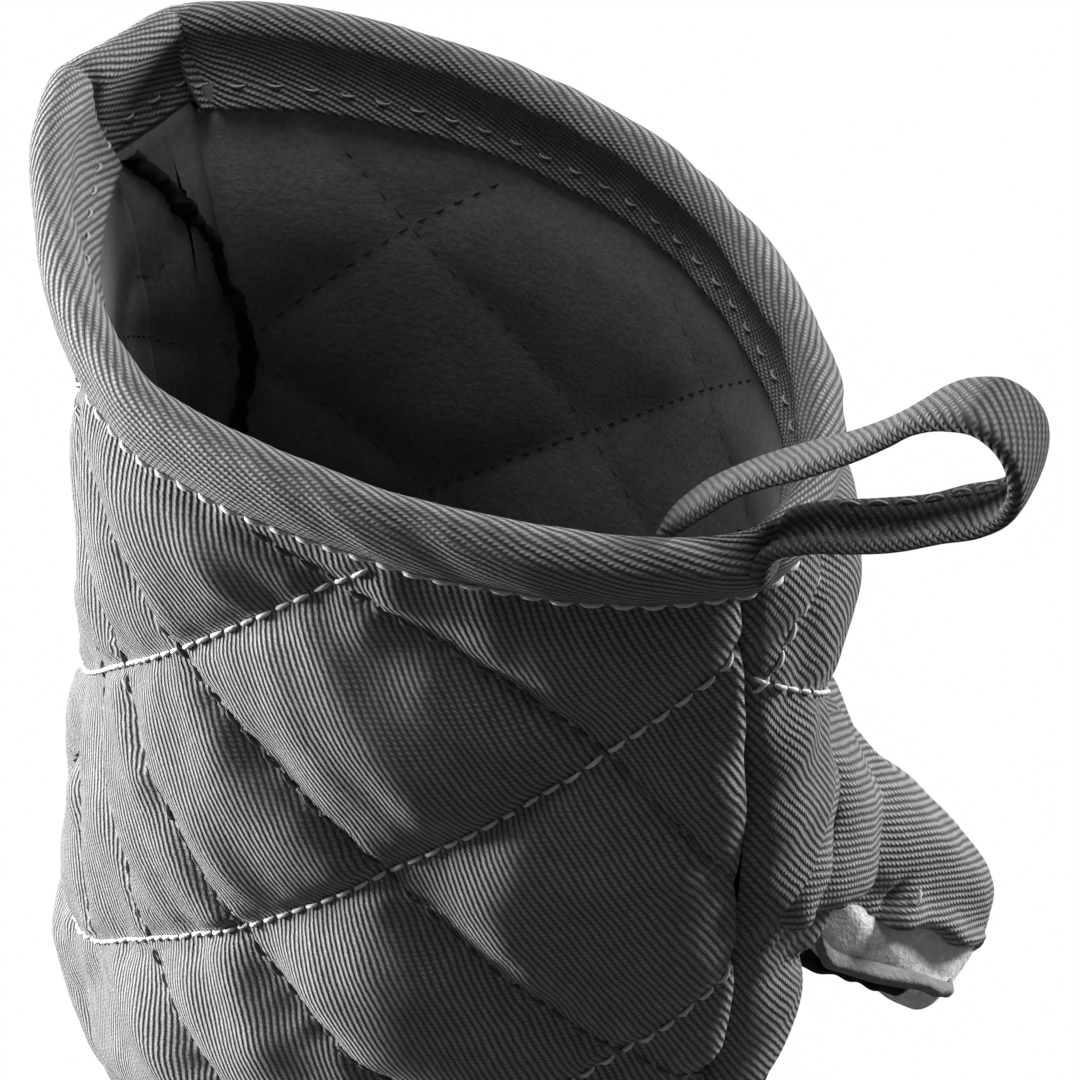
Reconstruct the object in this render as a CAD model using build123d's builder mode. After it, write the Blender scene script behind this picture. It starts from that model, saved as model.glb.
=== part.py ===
# Quilted oven mitt standing on its fingertips with the cuff open upwards.
# Millimetres. Z runs from the fingertips up to the cuff, X from the little finger seam to the
# thumb seam, Y from the back of the hand to the palm.
import math
import os

from build123d import *

os.makedirs("parts", exist_ok=True)

# Overall height, to the crest of the cuff binding
mitt_height = 225.0

# Layers of the wall at a stitch line, outside to inside
twill_thickness = 1.0
batting_thickness = 2.2
lining_thickness = 1.2
layer_gap = 0.25
seam_gap = 0.3

# Diamond quilting: spacing of the stitch lines down the panel, their slope and their depth
quilt_pitch = 48.0
palm_pitch = 46.0
quilt_slope = 0.87
quilt_start_down = 23.0
quilt_start_up = 50.0
palm_start_down = 24.0
palm_start_up = 29.5
# On the back the rising lines steepen towards the little finger, by shares of the spacing
back_bend = 1.2
back_bend_from = 60.0
back_bend_to = 120.0
back_bend_end = 134.0
quilt_depth = 3.4
quilt_puff = 0.45
quilt_below_rim = 14.0
quilt_fade_rim = 9.0
quilt_fade_tip = 30.0
seam_roll = 16.0

# Depth of each layer boundary below the crowns of the quilting
twill_inner = twill_thickness
batting_outer = twill_inner + layer_gap
batting_inner = batting_outer + batting_thickness
lining_outer = batting_inner + layer_gap
lining_inner = lining_outer + lining_thickness

# Cuff binding, a strip folded over the top edge of the layers
binding_width = 10.5
binding_thickness = 1.4
binding_clearance = 0.3
binding_round = 0.9
layer_top = mitt_height - binding_thickness - binding_clearance

# Thumb: where its axis leaves the palm, which way it points, and its sections along the axis
# as distance, half height and half width
thumb_root = (26.5, 27.5, 0.655 * mitt_height)
thumb_heading = 60.0
thumb_dip = 55.0
thumb_seat_gap = 0.3
thumb_sections = [
    (-44.0, 18.0, 18.5),
    (0.0, 17.4, 18.0),
    (22.0, 16.8, 17.2),
    (38.0, 15.4, 15.6),
    (46.0, 12.0, 12.2),
    (51.0, 6.6, 6.6),
]
thumb_flat_height = 48.0
thumb_flat_width = 31.0
thumb_trim_levels = 11
thumb_top_drop = 0.142 * mitt_height

# Hanging loop, a folded strip over the crest at the thumb seam, hinged where it is sewn in
loop_pivot = (68.8, 0.5, mitt_height - 2.2)
loop_heading = 28.0
loop_lift = 36.0
loop_width = 9.0
loop_thickness = 2.2
loop_reach = 24.5
loop_bend_radius = 7.5
loop_root_radius = 2.9

# Levels down the mitt: share of the height below the rim, half width, half depth, sideways shift
profile_shares = [
    (0.0, 67.4, 41.8, 0.0),
    (0.053, 66.8, 42.1, 0.0),
    (0.142, 66.4, 43.0, 0.6),
    (0.267, 66.8, 43.5, -0.4),
    (0.356, 67.8, 43.5, -2.8),
    (0.444, 67.7, 43.0, -7.5),
    (0.533, 67.4, 42.3, -12.0),
    (0.622, 67.0, 40.9, -15.0),
    (0.8, 59.8, 32.7, -14.2),
    (0.911, 48.8, 23.7, -12.0),
    (0.973, 37.5, 16.6, -11.0),
    (1.0, 28.0, 12.3, -10.8),
]
profile = [(share * mitt_height, wide, deep, shift) for share, wide, deep, shift in profile_shares]

# Fineness of the panels: height between levels and facets across a panel, in quarter diamonds
level_height = quilt_pitch / 4
facet_width = quilt_pitch / (4 * quilt_slope)
facets = 11
floor_slope = 0.4
floor_seam_bow = 3.0
inner_lift_end = 60.0


def profile_at(drop):
    """Half width, half depth and shift at a distance below the rim, on a smooth curve."""
    last = len(profile) - 1
    i = 0
    while i < last - 1 and drop > profile[i + 1][0]:
        i += 1
    a = profile[max(i - 1, 0)]
    b = profile[i]
    c = profile[i + 1]
    d = profile[min(i + 2, last)]
    span = c[0] - b[0]
    t = (drop - b[0]) / span
    values = []
    for k in (1, 2, 3):
        slope_b = (c[k] - a[k]) / (c[0] - a[0])
        slope_c = (d[k] - b[k]) / (d[0] - b[0])
        start = (2 * t ** 3 - 3 * t ** 2 + 1) * b[k] + (t ** 3 - 2 * t ** 2 + t) * span * slope_b
        end = (3 * t ** 2 - 2 * t ** 3) * c[k] + (t ** 3 - t ** 2) * span * slope_c
        values.append(start + end)
    return values


def lens_at(drop):
    """Radius of a panel's arc, how far its centre lies past the seam line, and the shift."""
    half_width, half_depth, shift = profile_at(drop)
    radius = (half_width ** 2 + half_depth ** 2) / (2 * half_depth)
    return radius, radius - half_depth, shift


def smooth_step(value):
    value = min(1.0, max(0.0, value))
    return value * value * (3 - 2 * value)


def quilt_pull(around, drop, thumb_around):
    """How far stitching pulls the surface in below the crowns, at a place on a panel."""
    if thumb_around is None:
        down = (drop - quilt_slope * around - quilt_start_down) / quilt_pitch
        up = (drop + quilt_slope * around - quilt_start_up) / quilt_pitch
        bent = max(0.0, around - back_bend_from) / (back_bend_to - back_bend_from)
        ending = smooth_step((back_bend_end - around) / (back_bend_end - back_bend_to))
        up += back_bend * bent ** 2 * ending
    else:
        down = (drop - quilt_slope * around - palm_start_down) / palm_pitch
        up = (drop + quilt_slope * around - palm_start_up) / palm_pitch
    crown = (abs(math.sin(math.pi * down)) * abs(math.sin(math.pi * up))) ** quilt_puff
    tip = smooth_step((mitt_height - drop) / quilt_fade_tip)
    crown = 1.0 - (1.0 - crown) * tip
    edge = min(1.0, min(around, facets * facet_width - around) / seam_roll)
    crown = min(crown, math.sqrt(max(0.0, 1.0 - (1.0 - edge) ** 2)))
    crown = crown * smooth_step((drop - quilt_below_rim) / quilt_fade_rim)
    if thumb_around is not None:
        beside = (around - thumb_around) / thumb_flat_width
        above = (mitt_height - drop - thumb_root[2]) / thumb_flat_height
        crown = crown * smooth_step(3.0 * (math.hypot(beside, above) - 1.0))
    return quilt_depth * (1.0 - crown)


def arc_points(height, inset, quilted, on_palm):
    """Points across one panel at a height, from the thumb seam to the little finger seam."""
    raised = height
    if height < inner_lift_end:
        raised = max(0.0, (height - inset) / (1 - inset / inner_lift_end))
    drop = mitt_height - raised
    radius, centre, shift = lens_at(drop)
    seam_radius = radius - inset - quilt_depth
    seam_angle = math.acos(centre / seam_radius)
    thumb_around = None
    if on_palm:
        thumb_angle = math.atan2(thumb_root[0] - shift, thumb_root[1] + centre)
        thumb_around = facets * facet_width * (1 - thumb_angle / seam_angle) / 2
    points = []
    for i in range(facets + 1):
        angle = seam_angle * (1 - 2 * i / facets)
        pull = quilt_depth
        if quilted:
            pull = quilt_pull(i * facet_width, drop, thumb_around)
        reach = radius - inset - pull
        across = max(0.0, reach * math.cos(angle) - centre)
        points.append((shift + reach * math.sin(angle), across))
    return points


def panel(on_palm, outer_inset, inner_inset, outer_quilted, inner_quilted):
    """One layer of one panel: a curved wall closed at the fingertips."""
    side = 1.0 if on_palm else -1.0
    heights = []
    height = layer_top
    while height > inner_inset + level_height / 3:
        heights.insert(0, height)
        height -= level_height
    closed = [outer_inset, inner_inset - floor_slope]
    faces = []
    for closed_height in closed + [inner_inset] + heights:
        outer_line = arc_points(closed_height, outer_inset, outer_quilted, on_palm)
        if closed_height in closed:
            first = outer_line[0][0]
            last = outer_line[-1][0]
            ends = 0.04 * (last - first)
            run = (last - first - 2 * ends) / facets
            inner_line = []
            for i in range(facets + 1):
                bow = floor_seam_bow * (1 - (2 * i / facets - 1) ** 2) ** 2
                inner_line.append((first + ends + i * run, -side * bow))
        else:
            inner_line = arc_points(closed_height, inner_inset, inner_quilted, on_palm)
        outline = outer_line + inner_line[::-1]
        corners = [(x, side * (y + seam_gap / 2)) for x, y in outline]
        with BuildSketch(Plane.XY.offset(closed_height)) as level_face:
            with BuildLine():
                Polyline(*corners, close=True)
            make_face()
        faces.append(level_face.sketch)
    loft(sections=faces, ruled=True)


def lens_face(height, inset):
    """Flat face filling the mitt's outline at a height, pulled in by an inset."""
    radius, centre, shift = lens_at(mitt_height - height)
    reach = radius - inset
    half = math.sqrt(reach ** 2 - centre ** 2)
    depth = reach - centre
    with BuildSketch(Plane.XY.offset(height)) as lens:
        with BuildLine():
            ThreePointArc((shift + half, 0), (shift, -depth), (shift - half, 0))
            ThreePointArc((shift - half, 0), (shift, depth), (shift + half, 0))
        make_face()
    return lens.sketch


def hand_fill(inset, heights, top_inset=None):
    """Plain filled shape of the mitt between heights, pulled in by an inset."""
    insets = [inset] * len(heights)
    if top_inset is not None:
        insets[-1] = top_inset
    with BuildPart() as fill:
        loft(sections=[lens_face(h, i) for h, i in zip(heights, insets)], ruled=True)
    return fill.part


heading_turn = math.radians(thumb_heading)
dip_turn = math.radians(thumb_dip)
thumb_axis = Vector(
    math.cos(dip_turn) * math.cos(heading_turn),
    math.cos(dip_turn) * math.sin(heading_turn),
    -math.sin(dip_turn),
)
thumb_side = Vector(-math.sin(heading_turn), math.cos(heading_turn), 0)


def thumb_fill(inset):
    """Filled shape of the thumb, run back into the hand, pulled in by an inset."""
    rounded_from = thumb_sections[2][0]
    rounded_to = thumb_sections[-1][0]
    with BuildPart() as fill:
        for along, half_height, half_width in thumb_sections:
            ending = max(0.0, (along - rounded_from) / (rounded_to - rounded_from))
            spot = Vector(*thumb_root) + thumb_axis * (along - inset * ending)
            shrink = inset * (1 - 0.35 * ending)
            with BuildSketch(Plane(spot, x_dir=thumb_side, z_dir=thumb_axis)):
                Ellipse(half_width - shrink, half_height - shrink)
        loft()
    return fill.part


thumb_hole = thumb_fill(lining_inner)
thumb_trim_heights = [layer_top - i * level_height for i in range(thumb_trim_levels, -1, -1)]
thumb_trim = hand_fill(quilt_depth - thumb_seat_gap - seam_gap / 2, thumb_trim_heights)


def thumb_layer(outer_inset, inner_inset):
    """One layer of the thumb, trimmed to sit on the palm."""
    with BuildPart() as layer:
        add(thumb_fill(outer_inset))
        add(thumb_fill(inner_inset), mode=Mode.SUBTRACT)
        add(thumb_trim, mode=Mode.SUBTRACT)
        split(bisect_by=Plane.XY.offset(mitt_height - thumb_top_drop), keep=Keep.BOTTOM)
    return layer.part


thumb_upward = thumb_axis.cross(thumb_side)
if thumb_upward.Z < 0:
    thumb_upward = thumb_upward * -1
back_cut = Plane(Vector(*thumb_root) + thumb_upward * (seam_gap / 2), z_dir=thumb_upward)
grip_cut = Plane(Vector(*thumb_root) - thumb_upward * (seam_gap / 2), z_dir=thumb_upward * -1)
thumb_twill = thumb_layer(0.0, twill_inner)
thumb_padding = thumb_layer(batting_outer, batting_inner)
thumb_inside = thumb_layer(lining_outer, lining_inner)


def save(built, name):
    built.part.label = name
    export_step(built.part, "parts/" + name + ".step")


with BuildPart() as back_shell:
    panel(False, 0.0, twill_inner, True, True)
save(back_shell, "back_shell")

with BuildPart() as palm_shell:
    panel(True, 0.0, twill_inner, True, True)
    add(thumb_hole, mode=Mode.SUBTRACT)
save(palm_shell, "palm_shell")

with BuildPart() as back_batting:
    panel(False, batting_outer, batting_inner, True, False)
save(back_batting, "back_batting")

with BuildPart() as palm_batting:
    panel(True, batting_outer, batting_inner, True, False)
    add(thumb_hole, mode=Mode.SUBTRACT)
save(palm_batting, "palm_batting")

with BuildPart() as back_lining:
    panel(False, lining_outer, lining_inner, False, False)
save(back_lining, "back_lining")

with BuildPart() as palm_lining:
    panel(True, lining_outer, lining_inner, False, False)
    add(thumb_hole, mode=Mode.SUBTRACT)
save(palm_lining, "palm_lining")

with BuildPart() as thumb_shell:
    add(thumb_twill)
    split(bisect_by=back_cut, keep=Keep.TOP)
save(thumb_shell, "thumb_shell")

with BuildPart() as thumb_grip:
    add(thumb_twill)
    split(bisect_by=grip_cut, keep=Keep.TOP)
save(thumb_grip, "thumb_grip")

with BuildPart() as thumb_batting_back:
    add(thumb_padding)
    split(bisect_by=back_cut, keep=Keep.TOP)
save(thumb_batting_back, "thumb_batting_back")

with BuildPart() as thumb_batting_grip:
    add(thumb_padding)
    split(bisect_by=grip_cut, keep=Keep.TOP)
save(thumb_batting_grip, "thumb_batting_grip")

with BuildPart() as thumb_lining_back:
    add(thumb_inside)
    split(bisect_by=back_cut, keep=Keep.TOP)
save(thumb_lining_back, "thumb_lining_back")

with BuildPart() as thumb_lining_grip:
    add(thumb_inside)
    split(bisect_by=grip_cut, keep=Keep.TOP)
save(thumb_lining_grip, "thumb_lining_grip")

# The binding wraps the layers where they are stitched flat at the rim
wall_face = quilt_depth
wall_back = quilt_depth + lining_inner
binding_low = mitt_height - binding_width
binding_middle = mitt_height - binding_width / 2
binding_shoulder = mitt_height - binding_round
binding_heights = [binding_low, binding_middle, binding_shoulder, mitt_height]
core_heights = [binding_low, binding_middle, mitt_height - binding_thickness]
binding_cover = binding_clearance + binding_thickness
binding_face = wall_face - binding_cover
binding_back = wall_back + binding_cover
with BuildPart() as binding_core:
    add(hand_fill(wall_face - binding_clearance, core_heights))
    add(hand_fill(wall_back + binding_clearance, core_heights), mode=Mode.SUBTRACT)
with BuildPart() as cuff_binding:
    add(hand_fill(binding_face, binding_heights, binding_face + binding_round))
    add(hand_fill(binding_back, binding_heights, binding_back - binding_round), mode=Mode.SUBTRACT)
    add(binding_core.part, mode=Mode.SUBTRACT)
save(cuff_binding, "cuff_binding")

# The loop is drawn from its side, root at the pivot and bend along the plane's first axis
loop_turn = math.radians(loop_heading)
loop_rise = math.radians(loop_lift)
loop_along = Vector(
    math.cos(loop_rise) * math.cos(loop_turn),
    math.cos(loop_rise) * math.sin(loop_turn),
    math.sin(loop_rise),
)
loop_across = Vector(-math.sin(loop_turn), math.cos(loop_turn), 0)
loop_plane = Plane(Vector(*loop_pivot), x_dir=loop_along, z_dir=loop_across)


def teardrop(root_spot, root_radius, bend_spot, bend_radius):
    """Outline round a small circle at the root and a large one at the bend."""
    lean = math.asin((bend_radius - root_radius) / (bend_spot - root_spot))
    root_touch = (root_spot - root_radius * math.sin(lean), root_radius * math.cos(lean))
    bend_touch = (bend_spot - bend_radius * math.sin(lean), bend_radius * math.cos(lean))
    root_low = (root_touch[0], -root_touch[1])
    bend_low = (bend_touch[0], -bend_touch[1])
    with BuildLine() as outline:
        Line(root_touch, bend_touch)
        ThreePointArc(bend_touch, (bend_spot + bend_radius, 0), bend_low)
        Line(bend_low, root_low)
        ThreePointArc(root_low, (root_spot - root_radius, 0), root_touch)
    return outline.edges()


with BuildPart() as hanging_loop:
    with BuildSketch(loop_plane):
        make_face(teardrop(0.0, loop_root_radius, loop_reach, loop_bend_radius))
    extrude(amount=loop_width / 2, both=True)
    inner_bend = loop_bend_radius - loop_thickness
    inner_root = loop_root_radius - loop_thickness
    with BuildSketch(loop_plane):
        make_face(teardrop(loop_root_radius, inner_root, loop_reach, inner_bend))
    extrude(amount=loop_width, both=True, mode=Mode.SUBTRACT)
save(hanging_loop, "hanging_loop")
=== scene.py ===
import math

import bpy
import numpy as np
from mathutils import Matrix


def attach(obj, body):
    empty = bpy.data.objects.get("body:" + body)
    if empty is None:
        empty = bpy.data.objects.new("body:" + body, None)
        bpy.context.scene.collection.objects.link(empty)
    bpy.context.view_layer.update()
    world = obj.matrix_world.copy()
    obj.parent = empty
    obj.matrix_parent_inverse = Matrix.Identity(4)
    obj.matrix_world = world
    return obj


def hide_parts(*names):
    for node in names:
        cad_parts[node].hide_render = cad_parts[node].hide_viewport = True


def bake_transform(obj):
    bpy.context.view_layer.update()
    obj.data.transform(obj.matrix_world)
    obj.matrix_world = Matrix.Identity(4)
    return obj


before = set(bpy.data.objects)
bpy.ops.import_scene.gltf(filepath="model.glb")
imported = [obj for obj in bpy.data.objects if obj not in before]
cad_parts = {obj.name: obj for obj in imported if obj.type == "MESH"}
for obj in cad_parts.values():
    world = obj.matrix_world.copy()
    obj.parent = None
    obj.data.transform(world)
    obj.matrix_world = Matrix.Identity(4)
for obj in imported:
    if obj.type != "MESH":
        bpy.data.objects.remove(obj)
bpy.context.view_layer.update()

# Every length below is in millimetres; meshes are written in metres.
MM = 0.001
TURN = 2 * math.pi
RIM_HEIGHT = 225.0

# The photo's camera, in the part's own axes
CAMERA_TURN = math.radians(53.764)
CAMERA_DIP = math.radians(40.021)
CAMERA_ROLL = math.radians(-1.284)
CAMERA_DISTANCE = 500.0
CAMERA_RIGHT = 14.13
CAMERA_DOWN = 34.09
CAMERA_LENS = 140.66
CAMERA_SENSOR = 36.0

# Levels of the mitt at the stitching: depth below the rim, little finger seam, thumb seam, depth of the
# back and of the palm, and how square the back's section is
LEVELS = np.array([
    (4.0, -62.8, 62.6, 40.0, 37.6, 1.51),
    (10.0, -62.2, 62.0, 40.1, 37.8, 1.53),
    (45.0, -59.6, 63.0, 40.8, 39.2, 1.56),
    (80.0, -65.0, 60.5, 40.0, 39.0, 1.70),
    (100.0, -69.4, 55.2, 39.2, 38.0, 1.81),
    (120.0, -73.2, 50.0, 38.0, 36.8, 1.93),
    (140.0, -77.0, 46.5, 36.6, 35.0, 2.06),
    (180.0, -68.5, 40.0, 28.5, 27.4, 2.0),
    (205.0, -55.5, 32.0, 20.5, 20.2, 1.9),
    (219.0, -43.5, 21.5, 13.6, 13.4, 1.85),
    (225.0, -34.0, 12.5, 9.4, 9.4, 1.85),
])
PALM_POWER = 1.79
RING_SPOTS = 721
PANEL_TOP = 4.0
PANEL_STEP = 1.15
PANEL_COLUMNS = 138
FLOOR_ROWS = 9

# Quilting: on each panel one set of stitch lines falls away from the thumb seam and one rises
QUILT_SLOPE = 0.868
BACK_PITCH = 48.16
BACK_FALL = 22.9
BACK_RISE = 50.2
PALM_PITCH = 45.8
PALM_FALL = 24.0
PALM_RISE = 29.6
# How far the back's lines wander from straight, as shares of the pitch over the cloth
WANDER_PLACE = 60.0
WANDER_END = (134.0, 150.0)
WANDER_FADE = (24.0, 32.0)
FALL_WANDER = (0.054, -0.044, -0.081, 0.073, -0.007, -0.2, 0.0, 0.0, 0.0, 0.0)
RISE_WANDER = (0.064, 0.201, 0.264, 0.345, 0.483, -0.069, 0.52, 0.016, -0.854, 0.253)
QUILT_HEIGHT = 3.6
QUILT_SHOULDER = 15.0
CLOTH_SLACK = 0.012
PAD_PRESSURE = 0.003
RELAX_ROUNDS = 90
RELAX_SHARE = 0.16
STIFF_EASE = 0.015
# Links between points of the cloth: rows, columns, strength
CLOTH_LINKS = ((0, 1, 1.0), (1, 0, 1.0), (1, 1, 0.7), (1, -1, 0.7), (0, 3, 0.3), (3, 0, 0.3))
SEAM_ROLL = 6.5
SEAM_LEFT = 0.7
RIM_FADE = 8.0

# Layers of the wall, and how thin the binding presses them
WALL = 5.4
RIM_WALL = 3.7
WALL_TOP = 10.0
WALL_FADE = 22.0

# Cuff binding
CREST_HALF_WIDTH = 65.0
CREST_BACK_DEPTH = 38.95
CREST_PALM_DEPTH = 36.7
CREST_BACK_POWER = 1.534
CREST_SHIFT = np.array([-0.2, -1.1])
CREST_RADIUS = 2.7
CREST_DROP = 2.7
BINDING_OUTSIDE = 10.8
BINDING_INSIDE = 12.4
BINDING_LIP = 0.9
BINDING_SPOTS = 620
BINDING_ROWS = 13
OUTER_SWELL = 0.8
INNER_SWELL = 1.1
CREST_SOFTENING = 6
# The little finger end of the rim is a flat between two sharp corners, on the crest and at the inner edge
CREST_CORNERS = np.array([(-59.8, -10.5), (-63.0, 6.6)])
INNER_CORNERS = np.array([(-56.6, -10.6), (-60.6, 6.2)])
CORNER_WIDTH = 1.3
CORNER_TUCK = 0.9
CORNER_DIP = 0.7

# Sewing
STITCH_LENGTH = 2.55
STITCH_GAP = 0.9
THREAD_RADIUS = 0.32
STITCH_RISE = 0.42
STITCH_SUNK = 0.18
STITCH_RINGS = 6
STITCH_SIDES = 6
# Stitch lines: spots along each, running numbers, margin at the seams, fewest spots
LINE_SPOTS = 420
LINE_NUMBERS = range(-6, 9)
LINE_MARGIN = 1.5
LINE_LEAST = 8
# The palm's lines are hidden by the thumb to this run, between these depths
UNDER_THUMB = (24.0, 58.0, 84.0)

# Twill: ribs a little under a millimetre apart, each a row of short slanting yarn floats
RIB_PITCH = 0.87
FLOAT_PITCH = 0.66
RIB_SWAY = 0.6
RIB_JITTER = 0.2
RIB_ROUND = 0.75
FLOAT_SHIFT = 0.37
FLOAT_SLANT = 0.75
FLOAT_DEPTH = 0.2
LINT_HEIGHT = 0.24
YARN_HEIGHT = 0.22
# Brightness from yarn, patches of wear and lint: share and offset
YARN_TONE = (0.75, 0.62)
PATCH_TONE = (0.5, 0.75)
LINT_TONE = (1.0, 0.5)
# Ribs light and grooves dark in the cloth's colour: painted shade between the ribs
RIB_PAINTED_SHADE = (0.12, 0.85)
NAP_TONE = (0.9, 0.55)
NAP_SCALE = 1100.0
TWIST_SCALE = 2600.0
TWILL_BUMP = 0.00038
TWILL_SHEEN = 0.12
CLOTH_SPECULAR = 0.08
SHEEN_ROUGHNESS = 0.6
WHITE = (1, 1, 1, 1)


def spline(xs, ys, at):
    """Smooth curve through the stations, at each value of at."""
    xs = np.asarray(xs, float)
    ys = np.asarray(ys, float)
    at = np.clip(np.asarray(at, float), xs[0], xs[-1])
    slopes = np.gradient(ys, xs)
    i = np.clip(np.searchsorted(xs, at) - 1, 0, len(xs) - 2)
    span = xs[i + 1] - xs[i]
    t = (at - xs[i]) / span
    start = (2 * t ** 3 - 3 * t ** 2 + 1) * ys[i] + (t ** 3 - 2 * t ** 2 + t) * span * slopes[i]
    end = (3 * t ** 2 - 2 * t ** 3) * ys[i + 1] + (t ** 3 - t ** 2) * span * slopes[i + 1]
    return start + end


def station(table, column, at):
    """A column of a table of stations, read at values of its first column."""
    return spline(table[:, 0], table[:, column], at)


def smooth(value):
    """Soft step from 0 to 1."""
    value = np.clip(value, 0.0, 1.0)
    return value * value * (3 - 2 * value)


def bell(away, width):
    """1 at no distance, fading over a width."""
    return np.exp(-(away / width) ** 2)


def signed_power(value, power):
    """Squares or sharpens the sine or cosine of a round section."""
    return np.sign(value) * np.abs(value) ** power


def run_up(steps):
    """Running total of steps, from 0."""
    return np.concatenate([[0], np.cumsum(steps)])


def pair(first, second):
    return np.stack(np.broadcast_arrays(first, second), -1)


def soften_ring(values, rounds):
    """Evens out values round a ring."""
    for _ in range(rounds):
        values = (np.roll(values, 1, 0) + 2 * values + np.roll(values, -1, 0)) / 4
    return values


def lattice(ix, iy, seed):
    """Repeatable random numbers from -1 to 1 on a grid."""
    h = (ix.astype(np.int64) * 374761393 + iy.astype(np.int64) * 668265263 + seed * 974634777)
    h = (h ^ (h >> 13)) * 1274126177
    h = (h ^ (h >> 16)) & 0xFFFFFF
    return h / float(0x7FFFFF) - 1.0


def noise(x, y, seed):
    """Smooth random waves, one unit apart."""
    ix = np.floor(x)
    iy = np.floor(y)
    tx = smooth(x - ix)
    ty = smooth(y - iy)
    low = lattice(ix, iy, seed) * (1 - tx) + lattice(ix + 1, iy, seed) * tx
    high = lattice(ix, iy + 1, seed) * (1 - tx) + lattice(ix + 1, iy + 1, seed) * tx
    return low * (1 - ty) + high * ty


def wave(sizes, x, y, seed):
    """Random waves of a height and of a spacing in each of two directions."""
    height, across, down = sizes
    return height * noise(x / across, y / down, seed)


def unit(vectors):
    return vectors / np.maximum(np.linalg.norm(vectors, axis=-1, keepdims=True), 1e-9)


def heading(turn, dip=0.0):
    """Direction at a turn about the upright axis, dipping below level."""
    return np.array([math.cos(dip) * math.cos(turn), math.cos(dip) * math.sin(turn), -math.sin(dip)])


def half_ring(half_width, half_depth, power, side, shares):
    """Points along one panel's section, spaced by share of its length from the thumb seam."""
    turn = np.linspace(0, math.pi, RING_SPOTS)
    x = half_width * signed_power(np.cos(turn), 2 / power)
    y = side * half_depth * np.abs(np.sin(turn)) ** (2 / power)
    run = run_up(np.hypot(np.diff(x), np.diff(y)))
    at = np.asarray(shares) * run[-1]
    return pair(np.interp(at, run, x), np.interp(at, run, y)), run[-1]


def level(drop):
    """Both seams, both depths and the back's squareness at a depth below the rim."""
    return [station(LEVELS, column, drop) for column in range(1, LEVELS.shape[1])]


def section(drop, side, inset, shares):
    """One panel's section at a depth below the rim, pulled in by an inset."""
    left, right, back_depth, palm_depth, back_power = level(drop)
    depth = back_depth if side < 0 else palm_depth
    power = back_power if side < 0 else PALM_POWER
    points, length = half_ring((right - left) / 2 - inset, depth - inset, power, side, shares)
    points[:, 0] += (left + right) / 2
    return points, length


def grid_normals(points, outward):
    """Unit normals of a grid of points, turned to the side of outward."""
    across = np.gradient(points, axis=1)
    down = np.gradient(points, axis=0)
    normals = unit(np.cross(across, down))
    return normals if (normals * outward).sum() > 0 else -normals


def grid_faces(rows, columns, closed=False):
    index = np.arange(rows * columns).reshape(rows, columns)
    if closed:
        index = np.concatenate([index, index[:, :1]], 1)
    return np.stack([index[:-1, :-1], index[:-1, 1:], index[1:, 1:], index[1:, :-1]], -1).reshape(-1, 4)


def make_mesh(name, points, faces, material, uv=None):
    """A mesh object from points in millimetres; uv is one pair of millimetres for each point."""
    points = np.asarray(points, float).reshape(-1, 3)
    mesh = bpy.data.meshes.new(name)
    mesh.from_pydata((points * MM).tolist(), [], np.asarray(faces).tolist())
    if uv is not None:
        layer = mesh.uv_layers.new(name="cloth")
        corner = np.empty(len(mesh.loops), np.int32)
        mesh.loops.foreach_get("vertex_index", corner)
        flat = np.asarray(uv, float).reshape(-1, 2)[corner] * MM
        layer.data.foreach_set("uv", flat.astype(np.float32).ravel())
    mesh.polygons.foreach_set("use_smooth", np.ones(len(mesh.polygons), bool))
    mesh.materials.append(material)
    mesh.validate()
    mesh.update()
    piece = bpy.data.objects.new(name, mesh)
    bpy.context.scene.collection.objects.link(piece)
    return piece


def grid_piece(name, points, material, uv, flip=False):
    """A mesh object from a grid of points."""
    faces = grid_faces(*points.shape[:2])
    return make_mesh(name, points, faces[:, ::-1] if flip else faces, material, uv)


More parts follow.
